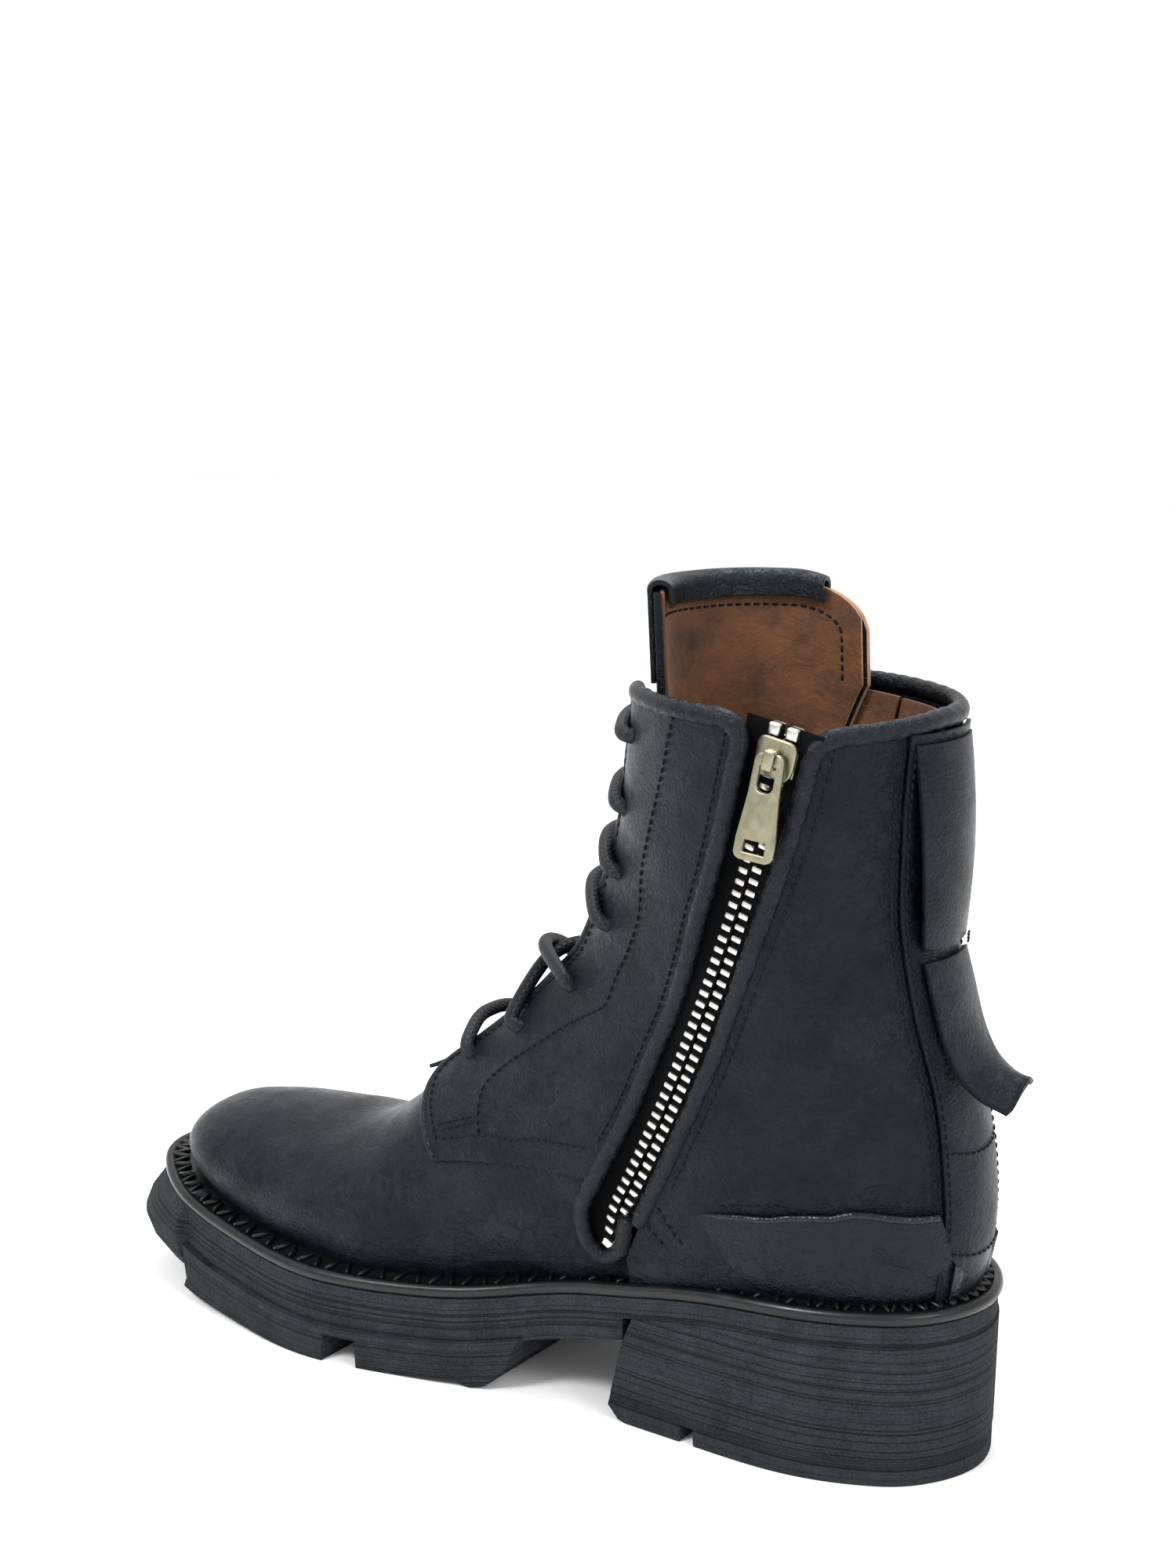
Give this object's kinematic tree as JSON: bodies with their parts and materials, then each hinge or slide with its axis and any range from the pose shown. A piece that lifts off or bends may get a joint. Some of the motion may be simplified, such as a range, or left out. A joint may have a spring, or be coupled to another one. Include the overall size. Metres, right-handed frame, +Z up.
{
  "type": "lace-up ankle boot",
  "caption": "Black leather lace-up ankle boot with a medial side zip, tongue, heel strap and lugged block-heel rubber sole; right foot.",
  "frame": {"origin": "centre of the heel's ground face", "axes": "+X runs from toe to heel, -Y is the medial side with the zip, +Z is up"},
  "size_m": [0.2968, 0.1024, 0.2276],
  "materials": {
    "sole_rubber": "matte, fine granular texture",
    "welt_rubber": "smooth, glossy",
    "shank_steel": "plain rolled steel",
    "cork": "matte cork",
    "fibre_board": "matte fibre board",
    "lining_leather": "matte tan lining leather",
    "upper_leather": "semi-gloss waxed calf, fine grain",
    "gloss_leather": "polished, glossy",
    "stiffener": "matte stiffener sheet",
    "thread": "waxed thread",
    "lace_cotton": "waxed round cord",
    "zip_tape": "woven tape",
    "zip_metal": "bright",
    "pull_metal": "pale nickel brass, satin"
  },
  "bodies": {
    "boot": {"outsole": "sole_rubber", "heel_block": "sole_rubber", "heel_top_lift": "sole_rubber", "welt": "welt_rubber", "welt_stitching": "welt_rubber", "shank": "shank_steel", "cork_filler": "cork", "insole_board": "fibre_board", "footbed_sock": "lining_leather", "vamp": "upper_leather", "toe_puff": "stiffener", "vamp_lining": "lining_leather", "medial_front_quarter": "upper_leather", "lateral_front_quarter": "upper_leather", "medial_rear_quarter": "upper_leather", "lateral_rear_quarter": "upper_leather", "medial_counter_cover": "gloss_leather", "lateral_counter_cover": "gloss_leather", "back_strip": "upper_leather", "facing_binding_medial": "upper_leather", "facing_binding_lateral": "upper_leather", "heel_counter": "stiffener", "medial_front_lining": "lining_leather", "lateral_front_lining": "lining_leather", "medial_rear_lining": "lining_leather", "lateral_rear_lining": "lining_leather", "collar_binding_front": "upper_leather", "collar_binding_rear": "upper_leather", "zip_piping_front": "upper_leather", "zip_piping_rear": "upper_leather", "back_strap": "upper_leather", "strap_tacks": "thread", "tongue": "upper_leather", "tongue_lining": "lining_leather", "tongue_pull": "upper_leather", "lace": "lace_cotton", "zip_tape_front": "zip_tape", "zip_tape_rear": "zip_tape", "zip_teeth_front": "zip_metal", "zip_teeth_rear": "zip_metal", "zip_top_stops": "zip_metal", "zip_bottom_stop": "zip_metal"},
    "slider": {"zip_slider": "pull_metal"},
    "pull": {"zip_pull": "pull_metal"},
    "tail": {"strap_tail": "upper_leather"}
  },
  "joints": [
    {"name": "slider_travel", "type": "hinge", "parent": "boot", "child": "slider", "pos_m": [-0.513, 0, 0.3], "axis": [0, 1, 0], "range_deg": [0, 14.2]},
    {"name": "pull_swing", "type": "hinge", "parent": "slider", "child": "pull", "pos_m": [-0.00474, -0.0377, 0.19011], "axis": [0.9774, 0, -0.2113], "range_deg": [-150, 0]},
    {"name": "tail_lift", "type": "hinge", "parent": "boot", "child": "tail", "pos_m": [0.02865, 0, 0.1386], "axis": [0, -1, 0], "range_deg": [0, 60]}
  ]
}
